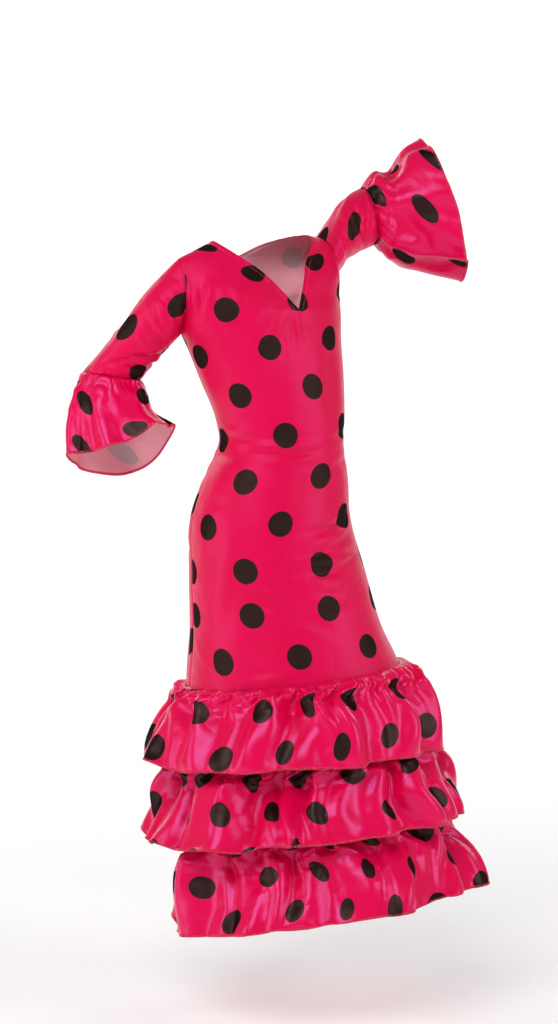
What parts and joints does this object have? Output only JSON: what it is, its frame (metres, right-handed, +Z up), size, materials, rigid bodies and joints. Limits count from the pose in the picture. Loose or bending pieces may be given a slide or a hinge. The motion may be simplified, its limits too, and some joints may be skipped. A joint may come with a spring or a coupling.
{
  "type": "flamenco dress",
  "caption": "Girl's fitted satin flamenco dress with polka dots, V neck, bell-cuffed elbow sleeves and a long skirt ending in overlapping gathered ruffles, hollow as worn.",
  "frame": {"origin": "between the wearer's shoulders at the base of the neck, where the shoulders hold the dress up", "axes": "+Z up, -Y towards the side from which the pose is seen, +X to that viewer's right, which is the wearer's left. The dress faces -Y turned towards +X."},
  "size_m": [0.5278, 0.4105, 0.9919],
  "materials": {
    "satin": "hot pink stretch satin with large black polka dots, glossy on the right side and washed-out pink on the wrong side"
  },
  "bodies": {
    "root": {"front_panel": "satin", "back_panel": "satin", "sleeve_right": "satin", "sleeve_left": "satin", "cuff_right": "satin", "cuff_left": "satin", "ruffle_top": "satin", "ruffle_middle": "satin", "ruffle_bottom": "satin"}
  },
  "joints": []
}
